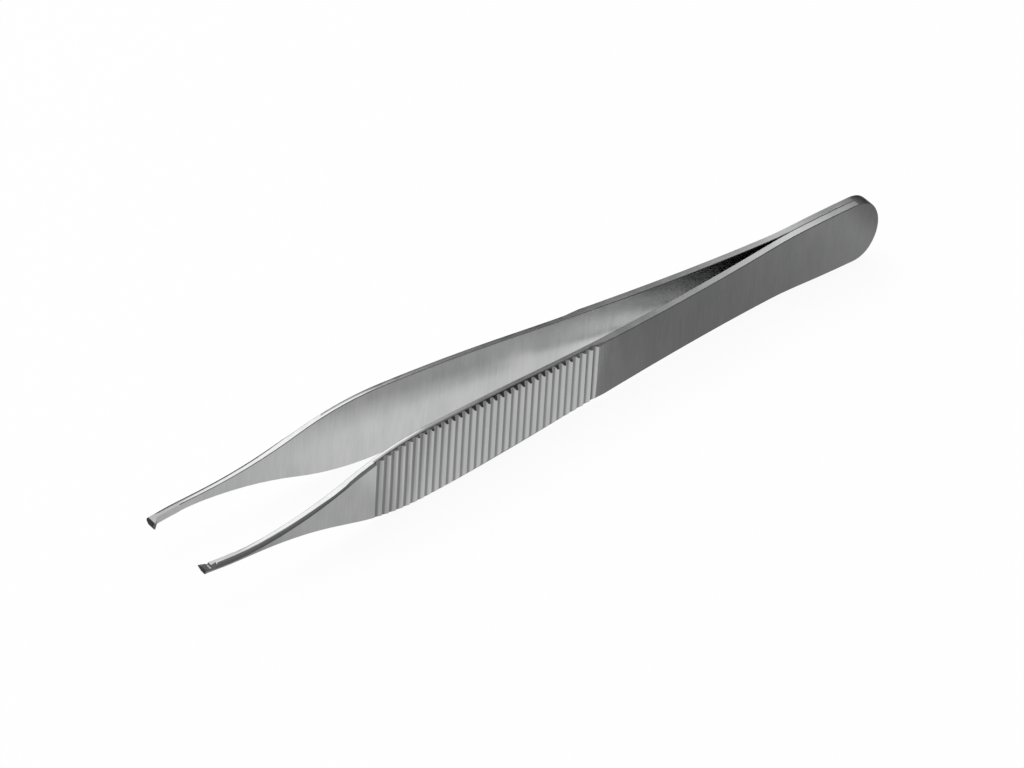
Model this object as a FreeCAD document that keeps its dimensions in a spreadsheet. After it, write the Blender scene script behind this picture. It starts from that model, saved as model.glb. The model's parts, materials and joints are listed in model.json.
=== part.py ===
import FreeCAD, Part
import Sketcher

import math
import os

# A pair of thumb forceps with one tooth on the left arm and two on the right.
# Each arm is one spring blade of stainless steel: blanked to its face outline,
# bent in its edge view, ridged and bevelled on the outside of the grip, and
# welded flat against the other arm at the heel. Millimetres. The tips point
# along -X, the heel along +X, and the blades stand on their edges on z = 0.
# Each arm is drawn on the +Y side with z = 0 in the middle of its width.

SIZES = (
    # the whole blade
    ("overall_length", 125.0),
    ("stock_thickness", 1.15),
    # edge view, from the heel to the tip
    ("weld_length", 14.7),
    ("split_radius", 67.5),
    ("arm_angle", 4.75),
    ("bow_from_heel", 49.7),
    ("bow_radius", 1087.0),
    ("tip_bend_length", 9.0),
    ("tip_bend_radius", 60.0),
    # face view, from the heel to the tip
    ("heel_end_extra", 1.0),
    ("heel_corner_radius", 3.9),
    ("heel_flare", 0.78),
    ("flare_turn", 0.6),
    ("waist_width", 9.0),
    ("waist_from_heel", 33.9),
    ("grip_swell", 1.68),
    ("side_turn", 0.41),
    ("widest_from_tip", 38.8),
    ("shoulder_turn", 0.595),
    ("tip_width", 1.25),
    ("neck_from_tip", 5.2),
    # ridges across the outside of the grip
    ("grip_from_tip", 29.63),
    ("ridge_count", 31),
    ("ridge_pitch", 1.295),
    ("groove_floor", 0.5),
    ("groove_depth", 0.35),
    ("groove_wall", 0.1),
    ("ridge_flank", 0.36),
    ("ridge_brow", 0.24),
    ("brow_drop", 0.05),
    # broken edge all round the outside, and the bevels ground over it
    ("edge_break", 0.12),
    ("grip_bevel_across", 0.44),
    ("grip_bevel_down", 0.87),
    ("shoulder_bevel", 0.2),
    ("tip_bevel", 0.44),
    # teeth
    ("tooth_height", 0.7),
    ("tooth_length", 0.9),
    ("tooth_crest", 0.16),
    ("notch_width", 0.84),
    ("tooth_clearance", 0.04),
)

Vector = FreeCAD.Vector
PROUD = 0.6
CLEAR = 0.05
BEVEL_STEPS = 10
BEVEL_LEAN = 1.36
BEVEL_RISE = 0.6
LEAST_SWELL = 0.0015
FACING_OUT = 0.5
SAME_PLACE = 1e-6


def make_sheet(doc):
    """The driving dimensions, one named cell each."""
    sheet = doc.addObject("Spreadsheet::Sheet", "Sizes")
    for row, (name, value) in enumerate(SIZES, 1):
        sheet.set("A%d" % row, name)
        sheet.set("B%d" % row, str(value))
        sheet.setAlias("B%d" % row, name)
    doc.recompute()
    return sheet


def size(name):
    return "<<Sizes>>." + name


HALF_LENGTH = size("overall_length") + " / 2"
TIP_X = "-" + HALF_LENGTH
TIP_BEND_X = size("tip_bend_length") + " - " + HALF_LENGTH
NECK_X = size("neck_from_tip") + " - " + HALF_LENGTH
GRIP_X = size("grip_from_tip") + " - " + HALF_LENGTH
WIDEST_X = size("widest_from_tip") + " - " + HALF_LENGTH
BOW_X = HALF_LENGTH + " - " + size("bow_from_heel")
WAIST_X = HALF_LENGTH + " - " + size("waist_from_heel")
HALF_TIP = size("tip_width") + " / 2"
HALF_WAIST = size("waist_width") + " / 2"
HALF_GRIP = "(" + HALF_WAIST + " + " + size("grip_swell") + ")"
HALF_HEEL = "(" + HALF_WAIST + " + " + size("heel_flare") + ")"
HEEL_RADIUS = "(" + HALF_HEEL + " + " + size("heel_end_extra") + ")"
CORNER_RADIUS = size("heel_corner_radius")
CORNER_REACH = "sqrt((%s - %s)^2 - (%s - %s)^2)" % (
    HEEL_RADIUS, CORNER_RADIUS, HALF_HEEL, CORNER_RADIUS)
CORNER_X = HALF_LENGTH + " - " + HEEL_RADIUS + " + " + CORNER_REACH
OUTER_BOW = "(" + size("bow_radius") + " + " + size("stock_thickness") + ")"
HALF_FLOOR = size("groove_floor") + " / 2"
FLANK_TOP = HALF_FLOOR + " + " + size("ridge_flank")
TOOTH_ROOT = "(" + size("stock_thickness") + " / 4)"
WALL_SHARE = "(1 + %s / %s)" % (CLEAR, size("groove_depth"))
BROW_SHARE = "(1 + %s / %s)" % (CLEAR, size("brow_drop"))


def between(start, end, share):
    return "(%s) + %s * ((%s) - (%s))" % (start, size(share), end, start)


def point_at(centre, radius, angle):
    return centre + Vector(radius * math.cos(angle), radius * math.sin(angle), 0)


class Sketch:
    """A sketch on one of a body's own origin planes, with named dimensions."""

    def __init__(self, body, name, role):
        plane = [f for f in body.Origin.OriginFeatures if f.Role == role][0]
        self.object = body.newObject("Sketcher::SketchObject", body.Name + "_" + name)
        self.object.AttachmentSupport = [(plane, "")]
        self.object.MapMode = "FlatFace"

    def line(self, start, end):
        return self.object.addGeometry(Part.LineSegment(start, end), False)

    def arc(self, centre, radius, first, last):
        circle = Part.Circle(centre, Vector(0, 0, 1), radius)
        return self.object.addGeometry(Part.ArcOfCircle(circle, first, last), False)

    def tie(self, *terms):
        return self.object.addConstraint(Sketcher.Constraint(*terms))

    def drive(self, name, expression, *terms):
        """A dimension that follows the sheet."""
        self.object.renameConstraint(self.tie(*terms), name)
        self.object.setExpression("Constraints." + name, expression)

    def place(self, name, x_expression, y_expression, shape, end, point):
        """A point whose two coordinates follow the sheet."""
        self.drive(name + "_x", x_expression, "DistanceX", -1, 1, shape, end, point.x)
        self.drive(name + "_y", y_expression, "DistanceY", -1, 1, shape, end, point.y)

    def measure(self, name, *terms):
        """A dimension that only reports what the sketch came to."""
        index = self.tie(*terms)
        self.object.setDriving(index, False)
        self.object.renameConstraint(index, name)

    def polygon(self, points):
        """Straight sides round a closed shape, joined at its corners."""
        sides = []
        for start, end in zip(points, points[1:] + points[:1]):
            sides.append(self.line(start, end))
        for side, following in zip(sides, sides[1:] + sides[:1]):
            self.tie("Coincident", side, 2, following, 1)
        return sides


class Chain:
    """Lines and arcs laid end to end, each running on smoothly from the last."""

    def __init__(self, sketch, start):
        self.sketch = sketch
        self.at = start
        self.links = []

    def add(self, shape, first, last, end):
        if self.links:
            before, tail = self.links[-1][0], self.links[-1][2]
            self.sketch.tie("Tangent", before, tail, shape, first)
        self.links.append((shape, first, last))
        self.at = end
        return shape

    def line_to(self, end):
        return self.add(self.sketch.line(self.at, end), 1, 2, end)

    def arc_to(self, end, centre):
        first = math.atan2(self.at.y - centre.y, self.at.x - centre.x)
        turn = math.atan2(end.y - centre.y, end.x - centre.x) - first
        turn = math.remainder(turn, 2 * math.pi)
        radius = centre.distanceToPoint(end)
        if turn > 0:
            return self.add(self.sketch.arc(centre, radius, first, first + turn), 1, 2, end)
        return self.add(self.sketch.arc(centre, radius, first + turn, first), 2, 1, end)

    def swell_to(self, name, end, share, joint_expression):
        """Two arcs from a level start to a level end, meeting where the curve turns over."""
        start = self.at
        across = end - start
        span = (across.x ** 2 + across.y ** 2) / (2 * across.y)
        joint = start + across * share
        self.arc_to(joint, start + Vector(0, span * share, 0))
        shape, _, last = self.links[-1]
        self.sketch.drive(name + "_joint", joint_expression, "DistanceX", -1, 1, shape, last, joint.x)
        self.arc_to(end, end - Vector(0, span * (1 - share), 0))
        shape, _, last = self.links[-1]
        self.sketch.tie("Vertical", shape, 3, shape, last)
        return shape, last


def draw_edge_view(body, sheet):
    """The blade seen on its edge: weld, split, straight handle, bowed grip and tip bend."""
    sketch = Sketch(body, "edge_view", "XY_Plane")
    half = sheet.overall_length / 2
    angle = math.radians(sheet.arm_angle)
    split = Vector(half - sheet.weld_length, sheet.split_radius, 0)
    split_end = point_at(split, sheet.split_radius, -math.pi / 2 - angle)
    bow_x = half - sheet.bow_from_heel
    bow_start = Vector(bow_x, split_end.y + math.tan(angle) * (split_end.x - bow_x), 0)
    bow = point_at(bow_start, -sheet.bow_radius, math.pi / 2 - angle)
    bow_last = math.acos((sheet.tip_bend_length - half - bow.x) / sheet.bow_radius)
    bend = point_at(point_at(bow, sheet.bow_radius, bow_last), -sheet.tip_bend_radius, bow_last)
    bend_last = math.acos((-half - bend.x) / sheet.tip_bend_radius)

    def draw_face(depth):
        normal = Vector(math.sin(angle), math.cos(angle), 0) * depth
        chain = Chain(sketch, Vector(half, depth, 0))
        weld = chain.line_to(Vector(split.x, depth, 0))
        opening = chain.arc_to(point_at(split, sheet.split_radius - depth, -math.pi / 2 - angle), split)
        handle = chain.line_to(bow_start + normal)
        grip = chain.arc_to(point_at(bow, sheet.bow_radius + depth, bow_last), bow)
        nose = chain.arc_to(point_at(bend, sheet.tip_bend_radius + depth, bend_last), bend)
        sketch.tie("Horizontal", weld)
        return weld, opening, handle, grip, nose

    inner = draw_face(0)
    outer = draw_face(sheet.stock_thickness)
    weld, opening, handle, grip, nose = inner
    heel_end = sketch.line(Vector(half, 0, 0), Vector(half, sheet.stock_thickness, 0))
    tip_end = sketch.line(
        point_at(bend, sheet.tip_bend_radius, bend_last),
        point_at(bend, sheet.tip_bend_radius + sheet.stock_thickness, bend_last))
    for cap, link, where in ((heel_end, 0, 1), (tip_end, 4, 2)):
        sketch.tie("Coincident", inner[link], where, cap, 1)
        sketch.tie("Coincident", outer[link], where, cap, 2)
        sketch.tie("Vertical", cap)
    for link in (1, 3, 4):
        sketch.tie("Coincident", inner[link], 3, outer[link], 3)
    sketch.tie("Parallel", handle, outer[2])
    sketch.tie("PointOnObject", weld, 1, -1)
    sketch.drive("thickness", size("stock_thickness"), "Distance", heel_end, sheet.stock_thickness)
    sketch.drive("heel_x", HALF_LENGTH, "DistanceX", -1, 1, weld, 1, half)
    sketch.drive("weld", size("weld_length"), "DistanceX", weld, 2, weld, 1, sheet.weld_length)
    sketch.drive("split", size("split_radius"), "Radius", opening, sheet.split_radius)
    sketch.drive("angle", "-1deg * " + size("arm_angle"), "Angle", -1, 1, handle, 2, -angle)
    sketch.drive("bow_x", BOW_X, "DistanceX", -1, 1, grip, 1, bow_x)
    sketch.drive("bow", size("bow_radius"), "Radius", grip, sheet.bow_radius)
    sketch.drive("bend_x", TIP_BEND_X, "DistanceX", -1, 1, nose, 1, sheet.tip_bend_length - half)
    sketch.drive("bend", size("tip_bend_radius"), "Radius", nose, sheet.tip_bend_radius)
    sketch.drive("tip_x", TIP_X, "DistanceX", -1, 1, nose, 2, -half)
    sketch.measure("bow_centre_x", "DistanceX", -1, 1, grip, 3, bow.x)
    sketch.measure("bow_centre_y", "DistanceY", -1, 1, grip, 3, bow.y)
    sketch.measure("tip_y", "DistanceY", -1, 1, nose, 2, bend.y)
    return sketch.object


def draw_face_view(body, sheet):
    """All that is cut away round the blade seen on its face: tip, shoulder, grip, waist, heel."""
    sketch = Sketch(body, "face_view", "XZ_Plane")
    half = sheet.overall_length / 2
    half_waist = sheet.waist_width / 2
    half_grip = half_waist + sheet.grip_swell
    half_heel = half_waist + sheet.heel_flare
    heel_radius = half_heel + sheet.heel_end_extra
    corner_radius = sheet.heel_corner_radius
    reach = math.sqrt((heel_radius - corner_radius) ** 2 - (half_heel - corner_radius) ** 2)
    heel_centre = Vector(half - heel_radius, 0, 0)
    corner_x = heel_centre.x + reach

    def draw_side(side, label):
        sign = "" if side > 0 else "-"
        tip = Vector(-half, side * sheet.tip_width / 2, 0)
        neck = Vector(sheet.neck_from_tip - half, tip.y, 0)
        widest = Vector(sheet.widest_from_tip - half, side * half_grip, 0)
        waist = Vector(half - sheet.waist_from_heel, side * half_waist, 0)
        heel = Vector(corner_x, side * half_heel, 0)
        corner = Vector(corner_x, side * (half_heel - corner_radius), 0)
        chain = Chain(sketch, tip)
        nose = chain.line_to(neck)
        sketch.tie("Horizontal", nose)
        sketch.place(label + "_tip", TIP_X, sign + HALF_TIP, nose, 1, tip)
        sketch.drive(label + "_neck", NECK_X, "DistanceX", -1, 1, nose, 2, neck.x)
        shape, last = chain.swell_to(
            label + "_shoulder", widest, sheet.shoulder_turn, between(NECK_X, WIDEST_X, "shoulder_turn"))
        sketch.place(label + "_widest", WIDEST_X, sign + HALF_GRIP, shape, last, widest)
        shape, last = chain.swell_to(
            label + "_side", waist, sheet.side_turn, between(WIDEST_X, WAIST_X, "side_turn"))
        sketch.place(label + "_waist", WAIST_X, sign + HALF_WAIST, shape, last, waist)
        shape, last = chain.swell_to(
            label + "_flare", heel, sheet.flare_turn, between(WAIST_X, CORNER_X, "flare_turn"))
        sketch.drive(label + "_heel", sign + HALF_HEEL, "DistanceY", -1, 1, shape, last, heel.y)
        away = (corner - heel_centre).normalize()
        chain.arc_to(heel_centre + away * heel_radius, corner)
        sketch.drive(label + "_corner", CORNER_RADIUS, "Radius", chain.links[-1][0], corner_radius)
        return nose, chain

    upper_nose, upper = draw_side(1, "upper")
    lower_nose, lower = draw_side(-1, "lower")
    bearing = math.atan2(upper.at.y, upper.at.x - heel_centre.x)
    heel = sketch.arc(heel_centre, heel_radius, -bearing, bearing)
    for chain, where in ((upper, 2), (lower, 1)):
        shape, _, last = chain.links[-1]
        sketch.tie("Tangent", shape, last, heel, where)
    sketch.tie("PointOnObject", heel, 3, -1)
    sketch.drive("heel_radius", HEEL_RADIUS, "Radius", heel, heel_radius)
    sketch.drive("heel_x", HALF_LENGTH + " - " + HEEL_RADIUS, "DistanceX", -1, 1, heel, 3, heel_centre.x)
    tip_end = sketch.line(Vector(-half, sheet.tip_width / 2, 0), Vector(-half, -sheet.tip_width / 2, 0))
    sketch.tie("Coincident", upper_nose, 1, tip_end, 1)
    sketch.tie("Coincident", lower_nose, 1, tip_end, 2)

    wide = Vector(half + sheet.waist_width, 2 * half_grip, 0)
    deep = Vector(wide.x, -wide.y, 0)
    frame = sketch.polygon([wide, deep, -wide, -deep])
    sketch.tie("Vertical", frame[0])
    sketch.tie("Horizontal", frame[1])
    sketch.tie("Vertical", frame[2])
    sketch.tie("Horizontal", frame[3])
    sketch.tie("Symmetric", frame[0], 1, frame[2], 1, -1, 1)
    sketch.place("frame", HALF_LENGTH + " + " + size("waist_width"), "2 * " + HALF_GRIP, frame[0], 1, wide)
    return sketch.object


def draw_groove(body, sheet, edges):
    """The first groove across the grip, drawn at the bow's centre.

    A steep wall stands on its tip side. On its heel side the next ridge rises as a flank
    and eases over a brow into its crest, so that the ridges lean back like saw teeth."""
    sketch = Sketch(body, "groove", "XY_Plane")
    groove = sketch.object
    view = "<<" + edges.Label + ">>.Constraints."
    groove.setExpression(".AttachmentOffset.Base.x", view + "bow_centre_x")
    groove.setExpression(".AttachmentOffset.Base.y", view + "bow_centre_y")
    bearing = "asin(((%s) * 1mm - %sbow_centre_x) / (%s * 1mm))" % (GRIP_X, view, OUTER_BOW)
    groove.setExpression(".AttachmentOffset.Rotation.Angle", "-" + bearing)
    crest = sheet.bow_radius + sheet.stock_thickness
    floor = sheet.groove_floor / 2
    flank = floor + sheet.ridge_flank
    floor_level = OUTER_BOW + " - " + size("groove_depth")
    brow_level = OUTER_BOW + " - " + size("brow_drop")
    clear_level = "%s + %s" % (OUTER_BOW, CLEAR)
    heel_mouth = "%s + %s * %s" % (FLANK_TOP, size("ridge_brow"), BROW_SHARE)
    tip_mouth = "-(%s + %s * %s)" % (HALF_FLOOR, size("groove_wall"), WALL_SHARE)
    corners = (
        ("wall_foot", "-" + HALF_FLOOR, floor_level, Vector(-floor, crest - sheet.groove_depth, 0)),
        ("flank_foot", HALF_FLOOR, floor_level, Vector(floor, crest - sheet.groove_depth, 0)),
        ("brow", FLANK_TOP, brow_level, Vector(flank, crest - sheet.brow_drop, 0)),
        ("heel_mouth", heel_mouth, clear_level, Vector(flank + sheet.ridge_brow, crest + CLEAR, 0)),
        ("tip_mouth", tip_mouth, clear_level, Vector(-floor - sheet.groove_wall, crest + CLEAR, 0)))
    sides = sketch.polygon([corner[-1] for corner in corners])
    for side, (name, x, y, point) in zip(sides, corners):
        sketch.place(name, x, y, side, 1, point)
    return groove


def outer_corner(blank):
    """The edges round the blade's outside face, all but the one across the tip."""
    outside = []
    for face in blank.Faces:
        first, last, low, high = face.ParameterRange
        if face.normalAt((first + last) / 2, (low + high) / 2).y > FACING_OUT:
            outside += face.Edges
    tip_x = min(vertex.X for vertex in blank.Vertexes)
    names = []
    for number, edge in enumerate(blank.Edges, 1):
        shared = sum(edge.isSame(other) for other in outside)
        across_tip = all(vertex.X - tip_x < SAME_PLACE for vertex in edge.Vertexes)
        if shared == 1 and not across_tip:
            names.append("Edge%d" % number)
    return names


def cut_across(body, profile, name):
    """A cut right through the body's width."""
    cut = body.newObject("PartDesign::Pocket", body.Name + "_" + name)
    cut.Profile = profile
    cut.Type = "ThroughAll"
    cut.Midplane = True
    return cut


def add_tooth(body, edges, name, crest, root):
    """A tooth at the very end of the tip: a wedge from its root inside the blade to its crest.

    Crest and root are each two expressions: the z of one flank and of the other."""
    plane = [f for f in body.Origin.OriginFeatures if f.Role == "XY_Plane"][0]
    tooth = body.newObject("PartDesign::AdditiveWedge", body.Name + "_" + name)
    tooth.AttachmentSupport = [(plane, "")]
    tooth.MapMode = "FlatFace"
    tooth.setExpression(".AttachmentOffset.Base.x", TIP_X)
    tooth.setExpression(".AttachmentOffset.Base.y", "<<" + edges.Label + ">>.Constraints.tip_y")
    slope = "(%s - %s) / %s" % (size("tooth_length"), size("tooth_crest"), size("tooth_height"))
    tooth.setExpression("Ymin", "-" + size("tooth_height"))
    tooth.setExpression("Ymax", TOOTH_ROOT)
    tooth.setExpression("Xmin", "0")
    tooth.setExpression("X2min", "0")
    tooth.setExpression("Xmax", size("tooth_crest"))
    tooth.setExpression("X2max", "%s + %s * %s" % (size("tooth_length"), slope, TOOTH_ROOT))
    tooth.setExpression("Zmin", crest[0])
    tooth.setExpression("Zmax", crest[1])
    tooth.setExpression("Z2min", root[0])
    tooth.setExpression("Z2max", root[1])
    return tooth


def add_one_tooth(body, edges):
    """The single tooth, which drops into the notch of the other tip."""
    half_root = "(%s / 2 - %s)" % (size("notch_width"), size("tooth_clearance"))
    half_crest = size("tooth_clearance")
    flare = "(%s - %s) / %s" % (half_root, half_crest, size("tooth_height"))
    half_deep = "%s + %s * %s" % (half_root, flare, TOOTH_ROOT)
    add_tooth(body, edges, "tooth", ("-" + half_crest, half_crest), ("-(" + half_deep + ")", half_deep))


def add_two_teeth(body, edges):
    """Two teeth on the sides of the tip, with the notch between them."""
    half_notch = size("notch_width") + " / 2"
    half_deep = "%s * %s / %s" % (half_notch, TOOTH_ROOT, size("tooth_height"))
    add_tooth(body, edges, "upper_tooth", (half_notch, HALF_TIP), ("-" + half_deep, HALF_TIP))
    add_tooth(body, edges, "lower_tooth", ("-" + HALF_TIP, "-" + half_notch), ("-" + HALF_TIP, half_deep))


def bevel_section(blank, x, across, down):
    """The corner to be taken off at one place along the blade, read from the blade's own section."""
    box = Part.Compound(blank.slice(Vector(1, 0, 0), x)).BoundBox
    low = Vector(x, box.YMax + PROUD, box.ZMax - down * (1 + PROUD / across))
    high = Vector(x, box.YMax - across * (1 + PROUD / down), box.ZMax + PROUD)
    corner = Vector(x, box.YMax + PROUD, box.ZMax + PROUD)
    return Part.makePolygon([low, high, corner, low])


def make_bevels(doc, sheet, blank, name):
    """The four pieces ground off the outer corners: beside the grip, and from grip to tip."""
    half = sheet.overall_length / 2
    grip_start = sheet.grip_from_tip - half
    grip_length = sheet.ridge_count * sheet.ridge_pitch
    grip_sections = []
    for step in range(BEVEL_STEPS + 1):
        share = step / BEVEL_STEPS
        swell = max(math.sin(math.pi * share ** BEVEL_LEAN), LEAST_SWELL) ** BEVEL_RISE
        across = swell * sheet.grip_bevel_across
        down = swell * sheet.grip_bevel_down
        grip_sections.append(bevel_section(blank, grip_start + share * grip_length, across, down))
    nose_start = grip_start - sheet.groove_floor / 2
    tip_x = -half + sheet.tooth_crest
    nose_sections = []
    for step in range(BEVEL_STEPS + 1):
        share = step / BEVEL_STEPS
        leg = sheet.tip_bevel - (sheet.tip_bevel - sheet.shoulder_bevel) * (1 - share) ** 2
        nose_sections.append(bevel_section(blank, nose_start + share * (tip_x - nose_start), leg, leg))
    past_tip = nose_sections[-1].copy()
    past_tip.translate(Vector(-PROUD, 0, 0))
    nose_sections.append(past_tip)
    ground = []
    for sections in (grip_sections, nose_sections):
        upper = Part.makeLoft(sections, True, False)
        ground += [upper, upper.mirror(Vector(0, 0, 0), Vector(0, 0, 1))]
    bevels = doc.addObject("Part::Feature", name)
    bevels.Shape = Part.Compound(ground)
    return bevels


def make_arm(doc, sheet, name, add_teeth):
    """One blade with its ridges, teeth and bevels, drawn on the +Y side."""
    body = doc.addObject("PartDesign::Body", name + "_blade")
    edges = draw_edge_view(body, sheet)
    doc.recompute()
    strip = body.newObject("PartDesign::Pad", body.Name + "_strip")
    strip.Profile = edges
    strip.Midplane = True
    strip.setExpression("Length", "3 * " + HALF_GRIP)
    outline = draw_face_view(body, sheet)
    doc.recompute()
    blank = cut_across(body, outline, "blank")
    doc.recompute()
    broken_edge = body.newObject("PartDesign::Chamfer", body.Name + "_broken_edge")
    broken_edge.Base = (blank, outer_corner(blank.Shape))
    broken_edge.setExpression("Size", size("edge_break"))
    doc.recompute()
    groove = draw_groove(body, sheet, edges)
    cut = cut_across(body, groove, "first_groove")
    doc.recompute()
    ridges = body.newObject("PartDesign::PolarPattern", body.Name + "_ridges")
    ridges.Originals = [cut]
    ridges.Axis = (groove, ["N_Axis"])
    ridges.Mode = "Spacing"
    ridges.Reversed = True
    ridges.setExpression("Offset", "1rad * %s / %s" % (size("ridge_pitch"), OUTER_BOW))
    ridges.setExpression("Occurrences", size("ridge_count") + " + 1")
    body.Tip = ridges
    doc.recompute()
    add_teeth(body, edges)
    doc.recompute()
    arm = doc.addObject("Part::Cut", name)
    arm.Base = body
    arm.Tool = make_bevels(doc, sheet, blank.Shape, name + "_bevels")
    arm.setExpression(".Placement.Base.z", HALF_GRIP)
    return arm


def check(doc, arms):
    for item in doc.Objects:
        if "Invalid" in item.State or "Error" in item.State:
            raise RuntimeError("%s is %s" % (item.Label, item.State))
    for arm in arms:
        if arm.Shape.isNull() or not arm.Shape.isValid():
            raise RuntimeError(arm.Label + " has no sound shape")
        print(arm.Label, len(arm.Shape.Solids), round(arm.Shape.Volume, 2), arm.Shape.BoundBox)


def main():
    doc = FreeCAD.newDocument("thumb_forceps")
    sheet = make_sheet(doc)
    left = make_arm(doc, sheet, "left_arm", add_one_tooth)
    right = make_arm(doc, sheet, "right_arm", add_two_teeth)
    left.Placement.Rotation = FreeCAD.Rotation(Vector(1, 0, 0), 180)
    doc.recompute()
    check(doc, (left, right))
    os.makedirs("parts", exist_ok=True)
    for arm in (left, right):
        arm.Shape.exportStep("parts/" + arm.Label + ".step")


main()
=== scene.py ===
import json
import math

import bpy
from mathutils import Matrix, Vector

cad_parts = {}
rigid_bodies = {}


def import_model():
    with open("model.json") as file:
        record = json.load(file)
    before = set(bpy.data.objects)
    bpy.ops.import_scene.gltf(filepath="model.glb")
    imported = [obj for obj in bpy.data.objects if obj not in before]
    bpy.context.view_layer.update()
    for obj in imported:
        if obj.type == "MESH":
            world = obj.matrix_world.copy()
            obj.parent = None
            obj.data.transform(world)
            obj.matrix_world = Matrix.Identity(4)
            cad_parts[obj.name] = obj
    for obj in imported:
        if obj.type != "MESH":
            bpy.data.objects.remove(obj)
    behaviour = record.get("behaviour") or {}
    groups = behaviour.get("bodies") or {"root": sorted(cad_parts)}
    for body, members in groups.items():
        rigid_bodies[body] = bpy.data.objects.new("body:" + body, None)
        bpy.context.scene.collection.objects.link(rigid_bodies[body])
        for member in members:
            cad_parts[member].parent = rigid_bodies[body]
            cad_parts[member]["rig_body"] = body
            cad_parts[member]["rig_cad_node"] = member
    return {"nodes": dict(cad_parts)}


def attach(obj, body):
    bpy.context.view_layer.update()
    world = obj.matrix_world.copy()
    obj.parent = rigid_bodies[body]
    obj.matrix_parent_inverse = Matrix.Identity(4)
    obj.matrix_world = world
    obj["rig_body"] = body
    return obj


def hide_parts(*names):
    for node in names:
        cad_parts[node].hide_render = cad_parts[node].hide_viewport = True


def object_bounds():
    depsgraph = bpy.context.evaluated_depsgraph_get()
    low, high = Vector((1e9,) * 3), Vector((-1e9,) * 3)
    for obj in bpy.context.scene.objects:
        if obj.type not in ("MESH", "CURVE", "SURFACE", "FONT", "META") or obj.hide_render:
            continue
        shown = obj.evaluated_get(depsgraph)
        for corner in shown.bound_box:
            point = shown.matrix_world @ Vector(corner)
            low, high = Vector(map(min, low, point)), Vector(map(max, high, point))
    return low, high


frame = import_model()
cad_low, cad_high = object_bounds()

# The camera. It looks down on the forceps from the tips' side at 40 degrees, from about
# 1.1 m with a long lens, and is tilted a little to the right.
MM = 0.001
AZIMUTH = math.radians(-40.39)
ELEVATION = math.radians(39.74)
TILT = math.radians(3.41)
DISTANCE = 1120.0 * MM
PIXELS_PER_MM = 7.115
PICTURE_WIDTH = 1024
SENSOR_WIDTH = 36.0
SIGHT = (0.05, 20.0)
AIM = (-3.155 * MM, -0.891 * MM)

middle = (cad_low.z + cad_high.z) / 2
centre = Vector((0, 0, middle))
back = Vector((
    math.sin(AZIMUTH) * math.cos(ELEVATION),
    -math.cos(AZIMUTH) * math.cos(ELEVATION),
    math.sin(ELEVATION)))
level = Vector((math.cos(AZIMUTH), math.sin(AZIMUTH), 0))
upward = back.cross(level)
right = level * math.cos(TILT) + upward * math.sin(TILT)
up = upward * math.cos(TILT) - level * math.sin(TILT)
camera_data = bpy.data.cameras.new("camera")
camera_data.sensor_width = SENSOR_WIDTH
camera_data.lens = PIXELS_PER_MM / MM * DISTANCE * SENSOR_WIDTH / PICTURE_WIDTH
camera_data.clip_start, camera_data.clip_end = SIGHT
camera = bpy.data.objects.new("camera", camera_data)
bpy.context.scene.collection.objects.link(camera)
stand = centre + back * DISTANCE + right * AIM[0] + up * AIM[1]
turn = Matrix((right, up, back)).transposed()
camera.matrix_world = Matrix.Translation(stand) @ turn.to_4x4()
bpy.context.scene.camera = camera
bpy.context.scene.view_settings.view_transform = "Standard"

# The steel. Stainless spring steel, ground across its width with a fine belt, then dulled
# so that it doesn't dazzle: short fine scratches, longer streaks and faint clouds of
# polish. The belt doesn't reach the grooves' floors, which stay rougher and get painted shade.
SCRATCHES_PER_METRE = (9000.0, 9000.0, 350.0)
STREAKS_PER_METRE = (2600.0, 2600.0, 240.0)
CLOUDS_PER_METRE = (420.0, 420.0, 160.0)
SCRATCH_DETAIL = 3.0
SOFT_DETAIL = 2.0
MEAN_NOISE = 0.5
ROUGHNESS = 0.20
SCRATCH_DULLNESS = 0.10
CLOUD_DULLNESS = 0.10
FLOOR_DULLNESS = 0.15
STREAK_HEIGHT = 3.0
BUMP_DISTANCE = 0.00001
BUMP_ON_EDGES = 0.04
MORE_BUMP_ON_FACES = 0.26
CLOUD_SHEEN = 0.5
STREAK_SHEEN = 0.3
SCRATCH_SHEEN = 0.2
SHEEN_SPAN = (0.35, 0.65)
DULL = (0.54, 0.545, 0.55, 1)
BRIGHT = (0.61, 0.61, 0.61, 1)
FLOOR_DEPTH = (0.12, 0.34)
# Painted shade: the grey that the grooves' floors are darkened to.
GROOVE_FLOOR_PAINTED_SHADE = (0.30, 0.30, 0.30, 1)


class Value:
    """A socket that takes part in Python arithmetic."""

    def __init__(self, tree, socket):
        self.tree = tree
        self.socket = socket

    def math(self, operation, *others):
        node = self.tree.nodes.new("ShaderNodeMath")
        node.operation = operation
        for slot, other in zip(node.inputs, (self,) + others):
            if isinstance(other, Value):
                self.tree.links.new(other.socket, slot)
            else:
                slot.default_value = other
        return Value(self.tree, node.outputs[0])

    def __add__(self, other):
        return self.math("ADD", other)

    def __radd__(self, other):
        return self.math("ADD", other)

    def __sub__(self, other):
        return self.math("SUBTRACT", other)

    def __rsub__(self, other):
        return (self * -1.0).math("ADD", other)

    def __mul__(self, other):
        return self.math("MULTIPLY", other)

    def __rmul__(self, other):
        return self.math("MULTIPLY", other)


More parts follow.
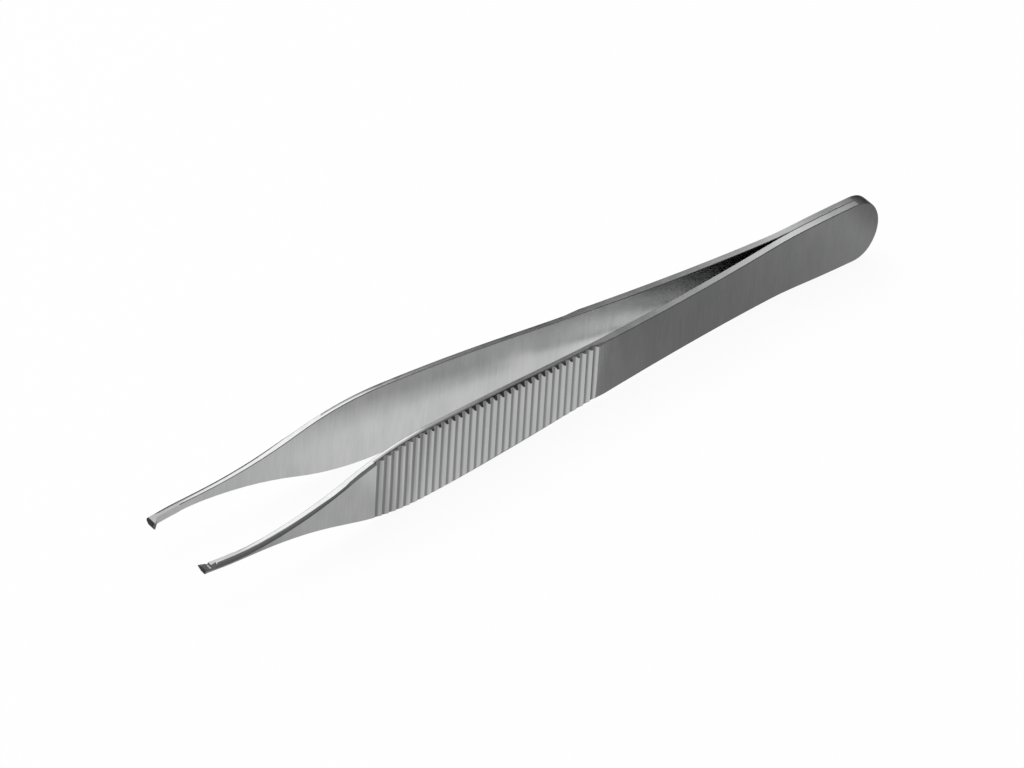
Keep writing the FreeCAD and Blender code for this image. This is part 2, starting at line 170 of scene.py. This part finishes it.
class Surface:
    """The nodes of a new material or world, and the one way to add any node to them."""

    # A Mix node's sockets for colours come after those for numbers and vectors.
    MIX_COLOURS = (6, 7)
    MIXED_COLOUR = 2

    def __init__(self, made):
        self.made = made
        made.use_nodes = True
        self.tree = made.node_tree
        self.tree.nodes.clear()

    def node(self, kind, settings, **sockets):
        made = self.tree.nodes.new(kind)
        for key, value in settings.items():
            setattr(made, key, value)
        for key, value in sockets.items():
            self.fill(made.inputs[key.replace("_", " ")], value)
        return made

    def fill(self, slot, value):
        """Link a socket to a slot, or write a fixed number or colour there."""
        source = value.socket if isinstance(value, Value) else value
        if isinstance(source, bpy.types.NodeSocket):
            self.tree.links.new(source, slot)
        else:
            slot.default_value = source

    def value(self, node, output):
        return Value(self.tree, node.outputs[output])

    def out(self, kind, settings, output, **sockets):
        return self.value(self.node(kind, settings, **sockets), output)

    def mix(self, share, one, other):
        """A colour between two others, each a socket or a fixed colour."""
        made = self.node("ShaderNodeMix", {"data_type": "RGBA"})
        self.fill(made.inputs[0], share)
        for index, colour in zip(self.MIX_COLOURS, (one, other)):
            self.fill(made.inputs[index], colour)
        return self.value(made, self.MIXED_COLOUR)

    def ramp(self, value, first, last):
        """A soft step from 0 at the first value to 1 at the last."""
        return self.out("ShaderNodeMapRange", {"interpolation_type": "SMOOTHSTEP"}, "Result",
                        Value=value, From_Min=first, From_Max=last)

    def finish(self, shader, kind="ShaderNodeOutputMaterial"):
        output = self.node(kind, {})
        self.tree.links.new(shader.outputs[0], output.inputs["Surface"])
        return self.made


def brushed_steel():
    steel = Surface(bpy.data.materials.new("brushed_steel"))
    place = steel.out("ShaderNodeTexCoord", {}, "Object")

    def marks(per_metre, detail):
        spread = steel.out("ShaderNodeMapping", {}, "Vector", Vector=place, Scale=per_metre)
        return steel.out("ShaderNodeTexNoise", {}, "Fac", Vector=spread, Scale=1.0, Detail=detail)

    scratches = marks(SCRATCHES_PER_METRE, SCRATCH_DETAIL)
    streaks = marks(STREAKS_PER_METRE, SOFT_DETAIL)
    clouds = marks(CLOUDS_PER_METRE, SOFT_DETAIL)
    depth = steel.out("ShaderNodeAttribute", {"attribute_name": "groove_depth"}, "Fac")
    bottom = steel.ramp(depth, *FLOOR_DEPTH)
    roughness = (ROUGHNESS
                 + SCRATCH_DULLNESS * (scratches - MEAN_NOISE)
                 + CLOUD_DULLNESS * (clouds - MEAN_NOISE)
                 + FLOOR_DULLNESS * bottom)
    height = scratches + STREAK_HEIGHT * streaks
    normal = steel.out("ShaderNodeTexCoord", {}, "Normal")
    facing_up = steel.out("ShaderNodeSeparateXYZ", {}, "Z", Vector=normal).math("ABSOLUTE")
    strength = BUMP_ON_EDGES + MORE_BUMP_ON_FACES * (1.0 - facing_up)
    bump = steel.out("ShaderNodeBump", {}, "Normal",
                     Strength=strength, Distance=BUMP_DISTANCE, Height=height)
    sheen = CLOUD_SHEEN * clouds + STREAK_SHEEN * streaks + SCRATCH_SHEEN * scratches
    tone = steel.mix(steel.ramp(sheen, *SHEEN_SPAN), DULL, BRIGHT)
    # Painted shade: the colour darkens to a flat grey toward the grooves' floors.
    tone = steel.mix(bottom, tone, GROOVE_FLOOR_PAINTED_SHADE)
    return steel.finish(steel.node(
        "ShaderNodeBsdfPrincipled", {},
        Base_Color=tone, Metallic=1.0, Roughness=roughness, Normal=bump))


steel = brushed_steel()

# The two arms. Each is a spring blade of stainless steel, blanked, bent, ridged, bevelled
# and welded to the other at the heel, as its solid says. Here its grip is ground a little
# more, and it is tumbled, which leaves a small round on every edge.
THICKNESS = 1.15 * MM
WELD_END = 47.8 * MM
SPLIT_RADIUS = 67.5 * MM
STRAIGHT = (42.2 * MM, 12.8 * MM)
STRAIGHT_FROM = 0.23 * MM
STRAIGHT_SLOPE = 0.0831
BOW_CENTRE = (-77.21 * MM, -1080.59 * MM)
BOW_RADIUS = 1087.0 * MM
LOOSE_GAP = 0.02 * MM
CUT_GAP = 0.01 * MM
FLAT_ANGLE = math.radians(0.05)


def inner_side(x):
    """How far the blade's inner face stands from the middle plane, at a place along it."""
    if x > WELD_END:
        return 0.0
    if x > STRAIGHT[0]:
        return SPLIT_RADIUS - math.sqrt(SPLIT_RADIUS ** 2 - (WELD_END - x) ** 2)
    if x > STRAIGHT[1]:
        return STRAIGHT_FROM + STRAIGHT_SLOPE * (STRAIGHT[0] - x)
    return BOW_CENTRE[1] + math.sqrt(BOW_RADIUS ** 2 - (x - BOW_CENTRE[0]) ** 2)


def merge_facets(gap):
    """Merge the active mesh's points that are closer than the gap, then its flat faces."""
    bpy.ops.object.mode_set(mode="EDIT")
    bpy.ops.mesh.select_all(action="SELECT")
    bpy.ops.mesh.remove_doubles(threshold=gap)
    bpy.ops.mesh.dissolve_limited(angle_limit=FLAT_ANGLE)
    bpy.ops.object.mode_set(mode="OBJECT")


def cut_away(blade, stone):
    """Cut the stone's shape out of the blade, and put the stone away."""
    bpy.ops.object.mode_set(mode="EDIT")
    bpy.ops.mesh.select_all(action="SELECT")
    bpy.ops.mesh.normals_make_consistent(inside=False)
    bpy.ops.object.mode_set(mode="OBJECT")
    bpy.ops.object.select_all(action="DESELECT")
    blade.select_set(True)
    bpy.context.view_layer.objects.active = blade
    cut = blade.modifiers.new("cut", "BOOLEAN")
    cut.operation = "DIFFERENCE"
    cut.solver = "EXACT"
    cut.object = stone
    bpy.ops.object.modifier_apply(modifier="cut")
    bpy.data.objects.remove(stone, do_unlink=True)


# The grip's corners: how far along they are ground and how softly that runs out, then the
# flat's width across the edge and down the outside of each arm, and the grinding stone.
GROUND = (-37.5 * MM, 7.9 * MM)
GRIP_RUN = (4 * MM, 3 * MM)
GRIP_ACROSS = 0.43 * MM
GRIP_DOWN = {-1: 0.28 * MM, 1: 0.46 * MM}
STONE_STEPS = 40
STONE_HEIGHT = 0.6 * MM
STONE_SPARE = 0.6 * MM
STONE_LIFT = 0.25 * MM
FROM_CORNER = 0.15 * MM
FROM_ABOVE = 20 * MM


def grind_grip(blade, outward, upper):
    """Grind a flat along the grip's outer corner that runs out softly past both ends."""
    bpy.ops.mesh.primitive_grid_add(
        x_subdivisions=STONE_STEPS, y_subdivisions=1, size=1, location=(0, 0, 0))
    stone = bpy.context.object
    bpy.ops.object.mode_set(mode="EDIT")
    bpy.ops.mesh.select_all(action="SELECT")
    bpy.ops.mesh.extrude_region_move(TRANSFORM_OT_translate={"value": (0, 0, 1)})
    bpy.ops.object.mode_set(mode="OBJECT")
    start = GROUND[0] - GRIP_RUN[0]
    end = GROUND[1] + GRIP_RUN[1]
    down = GRIP_DOWN[outward]
    slope = math.atan2(down, GRIP_ACROSS)
    width = math.hypot(GRIP_ACROSS, down) + STONE_SPARE
    for vertex in stone.data.vertices:
        x = start + (end - start) * (vertex.co.x + 0.5)
        contact = min(1, (x - start) / GRIP_RUN[0], (end - x) / GRIP_RUN[1])
        lift = STONE_LIFT * (1 - contact) + (vertex.co.z > 0.5) * STONE_HEIGHT
        slide = vertex.co.y * width
        face = inner_side(x) + THICKNESS
        beside = outward * (face - GRIP_ACROSS - FROM_CORNER)
        land = blade.ray_cast((x, beside, middle + upper * FROM_ABOVE), (0, 0, -upper))
        rise = upper * (land[1].z - middle)
        rise = rise - down / 2 + slide * math.sin(slope) + lift * math.cos(slope)
        deep = GRIP_ACROSS / 2 + slide * math.cos(slope) - lift * math.sin(slope)
        vertex.co = (x, outward * (face - deep), middle + upper * rise)
    cut_away(blade, stone)


# The corner beside the near arm's one tooth: its four ends along the arm and above the
# middle, by whether they are toward the heel and whether they are over it, in millimetres.
NOTCH = {
    (True, True): (-61.2, 1.2), (True, False): (-61.5, 0.30),
    (False, True): (-62.9, 1.2), (False, False): (-62.9, 0.50)}
NOTCH_ASIDE = 6.0
NOTCH_HALF_WIDTH = 2.5


def notch_tip(blade, outward, upper):
    """Grind the tip's corner back beside its one tooth."""
    bpy.ops.mesh.primitive_cube_add(size=2, location=(0, 0, 0))
    stone = bpy.context.object
    for vertex in stone.data.vertices:
        x, rise = NOTCH[(vertex.co.x > 0, vertex.co.z > 0)]
        aside = NOTCH_ASIDE + NOTCH_HALF_WIDTH * vertex.co.y
        vertex.co = (x * MM, outward * aside * MM, middle + upper * rise * MM)
    cut_away(blade, stone)


# The rounds that tumbling leaves: a small one on every edge, larger ones on the inner
# corners and along the nose, between the shoulder and the tip.
DIE_ROLL = 0.035
EDGE_ROUND = 0.05 * MM
EDGE_STEPS = 2
SHARP = math.radians(24)
FLAT_WEIGHT = 100
INNER_ROUND = 0.12 * MM
NOSE_ROUND = 0.07 * MM
BROW_ROUND = 0.24 * MM
ROUND_STEPS = 4
NOSE = (-61.0 * MM, -37 * MM)
NOSE_RUN = (1.5 * MM, 7 * MM)
TEETH = -58 * MM
SQUARE_ON = 0.9
SLANTED = 0.5
EDGE_ON = 0.3
RIDGES = (-33.2 * MM, 7.9 * MM)
DEEPEST = 0.5


def round_edges(blade, width, wanted):
    """Round the edges between two faces, by the share of the width that the test gives."""
    mesh = blade.data
    sides = {}
    for face in mesh.polygons:
        for key in face.edge_keys:
            sides.setdefault(key, []).append(face)
    share = mesh.attributes.new("bevel_weight_edge", "FLOAT", "EDGE")
    for edge, value in zip(mesh.edges, share.data):
        one, other = sides[edge.key]
        value.value = max(wanted(one, other), wanted(other, one))
    rounding = blade.modifiers.new("round", "BEVEL")
    rounding.limit_method = "WEIGHT"
    rounding.width = width
    rounding.segments = ROUND_STEPS
    rounding.use_clamp_overlap = False
    bpy.ops.object.modifier_apply(modifier="round")
    mesh.attributes.remove(mesh.attributes["bevel_weight_edge"])


def tumble(blade, outward):
    """Roll the blanked edge, and round the inner corners, the nose and then every edge."""
    for vertex in blade.data.vertices:
        x, y, z = vertex.co
        outside = min(max(y * outward - inner_side(x), 0), THICKNESS)
        roll = min(DIE_ROLL * outside, abs(z - middle))
        vertex.co.z = z - math.copysign(roll, z - middle)

    def inner_corner(face, land):
        off_teeth = face.center.x > TEETH and land.center.x > TEETH
        inner = face.normal.y * outward < -SQUARE_ON
        return float(off_teeth and inner and abs(land.normal.y) < SLANTED)

    def on_nose(bevel):
        """How fully the nose is rounded: it runs out softly at the shoulder and the tip."""
        if abs(bevel.normal.z) < SLANTED:
            return 0.0
        if not SLANTED < bevel.normal.y * outward < SQUARE_ON:
            return 0.0
        x = bevel.center.x
        return max(0.0, min(1.0, (x - NOSE[0]) / NOSE_RUN[0], (NOSE[1] - x) / NOSE_RUN[1]))

    def nose_corner(face, bevel):
        return on_nose(bevel) * (face.normal.y * outward > SQUARE_ON)

    def nose_brow(land, bevel):
        return on_nose(bevel) * (abs(land.normal.y) < EDGE_ON)

    round_edges(blade, INNER_ROUND, inner_corner)
    round_edges(blade, NOSE_ROUND, nose_corner)
    round_edges(blade, BROW_ROUND, nose_brow)
    edges = blade.modifiers.new("edges", "BEVEL")
    edges.limit_method = "ANGLE"
    edges.angle_limit = SHARP
    edges.width = EDGE_ROUND
    edges.segments = EDGE_STEPS
    edges.use_clamp_overlap = True
    bpy.ops.object.modifier_apply(modifier="edges")
    bpy.ops.object.shade_smooth_by_angle(angle=SHARP)
    flats = blade.modifiers.new("flats", "WEIGHTED_NORMAL")
    flats.mode = "FACE_AREA"
    flats.weight = FLAT_WEIGHT
    flats.keep_sharp = True
    bpy.ops.object.modifier_apply(modifier="flats")


def finished_blade(node, piece, outward):
    """Make one arm's visible blade from its solid."""
    bpy.ops.object.select_all(action="DESELECT")
    solid = frame["nodes"][node]
    solid.select_set(True)
    bpy.context.view_layer.objects.active = solid
    bpy.ops.object.duplicate()
    blade = bpy.context.object
    blade.name = piece
    blade.parent = None
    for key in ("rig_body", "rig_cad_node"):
        del blade[key]
    bpy.ops.object.mode_set(mode="EDIT")
    bpy.ops.mesh.customdata_custom_splitnormals_clear()
    bpy.ops.mesh.select_all(action="SELECT")
    bpy.ops.mesh.mark_sharp(clear=True)
    bpy.ops.object.mode_set(mode="OBJECT")
    merge_facets(LOOSE_GAP)
    for upper in (1, -1):
        grind_grip(blade, outward, upper)
        if node == "left_arm":
            notch_tip(blade, outward, upper)
    merge_facets(CUT_GAP)
    tumble(blade, outward)
    depth = blade.data.attributes.new("groove_depth", "FLOAT", "POINT")
    for vertex, value in zip(blade.data.vertices, depth.data):
        x, y = vertex.co.xy
        deep = (THICKNESS - y * outward + inner_side(x)) / MM
        if RIDGES[0] < x < RIDGES[1] and deep <= DEEPEST:
            value.value = deep
    blade.data.materials.clear()
    blade.data.materials.append(steel)
    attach(blade, "root")
    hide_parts(node)


finished_blade("left_arm", "left_blade", -1)
finished_blade("right_arm", "right_blade", 1)

# The sheet of white paper that the forceps stand on. The camera sees it white, with a
# little shadow left in. The steel sees painted reflections on it: painted light between the
# arms and beside the grip, painted shade beside the handle, round the tips and far off.
SHEET_SIZE = 6.0
PAPER = (0.92, 0.92, 0.92, 1)
WHITE = (1, 1, 1, 1)
GLOW_SHARE = 0.94
WEDGE_AT_MIDDLE = 4.3 * MM
WEDGE_SLOPE = 0.075
WEDGE_BEND = 0.35
WEDGE_SOFTNESS = (0.6 * MM, -0.2 * MM)
# Painted reflections: how bright the steel sees the paper outside the arms, with painted shade
# beside the tips, past them and far off.
BESIDE_GRIP = 0.79
BESIDE_TAPER = 0.58
TAPER_SPAN = (-24 * MM, -31 * MM)
BESIDE_TIP = 0.34
TIP_SPAN = (-38 * MM, -58 * MM)
PAST_TIP = 0.08
PAST_TIP_SPAN = (-62.6 * MM, -63.4 * MM)
# A painted shadow on the paper, seen only by the steel: a dark slanted zone beside the handle.
PAINTED_SHADE_EDGE = 1.9 * MM
PAINTED_SHADE_SLANT = 1.175
PAINTED_SHADE_SOFTNESS = (-0.4 * MM, 0.6 * MM)
BESIDE_HANDLE = 0.215
HANDLE_BEND = 120.0
HANDLE_MIDDLE = 32 * MM
PAST_HEEL = 0.20
HEEL_SPAN = (63 * MM, 70 * MM)
FAR_OFF = 0.05
FAR_OFF_SPAN = (19 * MM, 30 * MM)
BETWEEN = 0.88
BETWEEN_TIPS = 0.66
BETWEEN_TIPS_SPAN = (-20 * MM, -50 * MM)
# Painted light: the paper glows brighter than white between the handles and in the crotch, for
# light bounced between the arms.
BETWEEN_HANDLES = 1.4
BETWEEN_HANDLES_SPAN = (8 * MM, 24 * MM)
IN_THE_CROTCH = 2.2
CROTCH_SPAN = (28 * MM, 40 * MM)
# Painted shade on the paper between the arms, on the near arm's side.
UNDER_NEAR_ARM = (0.56, 0.72)
NEAR_ARM_SPAN = (0.0, -26 * MM)
NEAR_ARM_INWARD = (-1.6 * MM, -3.2 * MM)
NEAR_ARM_HEELWARD = (6 * MM, 0.0)

bpy.ops.object.select_all(action="DESELECT")
bpy.ops.mesh.primitive_plane_add(size=SHEET_SIZE, location=(0, 0, cad_low.z))
floor = bpy.context.object
floor.name = "floor"
paper = Surface(bpy.data.materials.new("paper"))
spot = paper.node("ShaderNodeSeparateXYZ", {}, Vector=paper.out("ShaderNodeTexCoord", {}, "Object"))
along = paper.value(spot, "X")
aside = paper.value(spot, "Y").math("ABSOLUTE")

at_taper = paper.ramp(along, *TAPER_SPAN)
at_tip = paper.ramp(along, *TIP_SPAN)
past_heel = paper.ramp(along, *HEEL_SPAN)
# Painted shade beside the handle, as a dark slanted zone.
in_painted_shade = paper.ramp(along - PAINTED_SHADE_SLANT * aside - PAINTED_SHADE_EDGE, *PAINTED_SHADE_SOFTNESS)
from_middle = along - HANDLE_MIDDLE
beside_handle = BESIDE_HANDLE + HANDLE_BEND * from_middle * from_middle
beside_handle = beside_handle + (PAST_HEEL - beside_handle) * past_heel
outside = (BESIDE_GRIP
           + (BESIDE_TAPER - BESIDE_GRIP) * at_taper
           + (BESIDE_TIP - BESIDE_TAPER) * at_tip)
outside = outside + (beside_handle - outside) * in_painted_shade
outside = outside + (FAR_OFF - outside) * paper.ramp(aside, *FAR_OFF_SPAN)

at_tips = paper.ramp(along, *BETWEEN_TIPS_SPAN)
at_handles = paper.ramp(along, *BETWEEN_HANDLES_SPAN)
at_crotch = paper.ramp(along, *CROTCH_SPAN)
# Painted light between the arms, strongest toward the crotch.
inside = (BETWEEN
          + (BETWEEN_TIPS - BETWEEN) * at_tips
          + (BETWEEN_HANDLES - BETWEEN) * at_handles
          + (IN_THE_CROTCH - BETWEEN_HANDLES) * at_crotch)
# Painted shade between the arms, on the near arm's side.
first, last = UNDER_NEAR_ARM
near_arm = first + (last - first) * paper.ramp(along, *NEAR_ARM_SPAN)
inward = paper.ramp(paper.value(spot, "Y"), *NEAR_ARM_INWARD)
under_near_arm = inward * paper.ramp(along, *NEAR_ARM_HEELWARD)
inside = inside + (near_arm - inside) * under_near_arm

wedge = WEDGE_AT_MIDDLE - WEDGE_SLOPE * along - WEDGE_BEND * along * along
between = paper.ramp(aside - wedge, *WEDGE_SOFTNESS)
# The painted light and shade on the paper, which only the steel sees.
painted_light_for_steel = outside + (inside - outside) * between
past_tip = paper.ramp(along, *PAST_TIP_SPAN)
painted_light_for_steel = painted_light_for_steel + (PAST_TIP - painted_light_for_steel) * past_tip

path = paper.node("ShaderNodeLightPath", {})
to_camera = paper.value(path, "Is Camera Ray")
through = paper.value(path, "Is Transmission Ray")
to_steel = paper.value(path, "Is Glossy Ray").math("MAXIMUM", through)
glow = to_camera + to_steel * painted_light_for_steel
lit = paper.node("ShaderNodeBsdfDiffuse", {}, Color=PAPER)
white = paper.node("ShaderNodeEmission", {}, Color=WHITE, Strength=glow)
sheet = paper.node("ShaderNodeMixShader", {}, Fac=to_camera * GLOW_SHARE + to_steel)
paper.tree.links.new(lit.outputs[0], sheet.inputs[1])
paper.tree.links.new(white.outputs[0], sheet.inputs[2])
floor.data.materials.append(paper.finish(sheet))

# The studio. A dim room, lighter toward its ceiling, with one large soft window of light
# above the far side of the forceps, and a lamp that only fills the shadows on the paper.
WINDOW_TOWARDS = (0.0, 0.53, 0.848)
WINDOW_EDGE = (math.cos(math.radians(35.5)), math.cos(math.radians(24.0)))
WINDOW_LIGHT = 1.3
ROOM_LIGHT = 0.05
ROOM_RISE = 0.20
LAMP_SIZE = 1.2
LAMP_POWER = 8.0
LAMP_PLACE = (-0.2, 0.3, 1.0)

room = Surface(bpy.data.worlds.new("room"))
bpy.context.scene.world = room.made
heading = room.out("ShaderNodeTexCoord", {}, "Generated")
rise = room.out("ShaderNodeSeparateXYZ", {}, "Z", Vector=heading)
facing = room.node("ShaderNodeVectorMath", {"operation": "DOT_PRODUCT"})
for slot, direction in zip(facing.inputs, (heading, WINDOW_TOWARDS)):
    room.fill(slot, direction)
window = room.ramp(room.value(facing, "Value"), *WINDOW_EDGE)
light = ROOM_LIGHT + ROOM_RISE * rise.math("MAXIMUM", 0.0) + WINDOW_LIGHT * window
background = room.node("ShaderNodeBackground", {}, Color=WHITE, Strength=light)
room.finish(background, "ShaderNodeOutputWorld")

lamp_data = bpy.data.lights.new("fill", "AREA")
lamp_data.shape = "DISK"
lamp_data.size = LAMP_SIZE
lamp_data.energy = LAMP_POWER
lamp = bpy.data.objects.new("fill", lamp_data)
bpy.context.scene.collection.objects.link(lamp)
lamp.location = LAMP_PLACE
lamp.rotation_mode = "QUATERNION"
lamp.rotation_quaternion = (lamp.location - centre).to_track_quat("Z", "Y")
lamp.visible_glossy = False
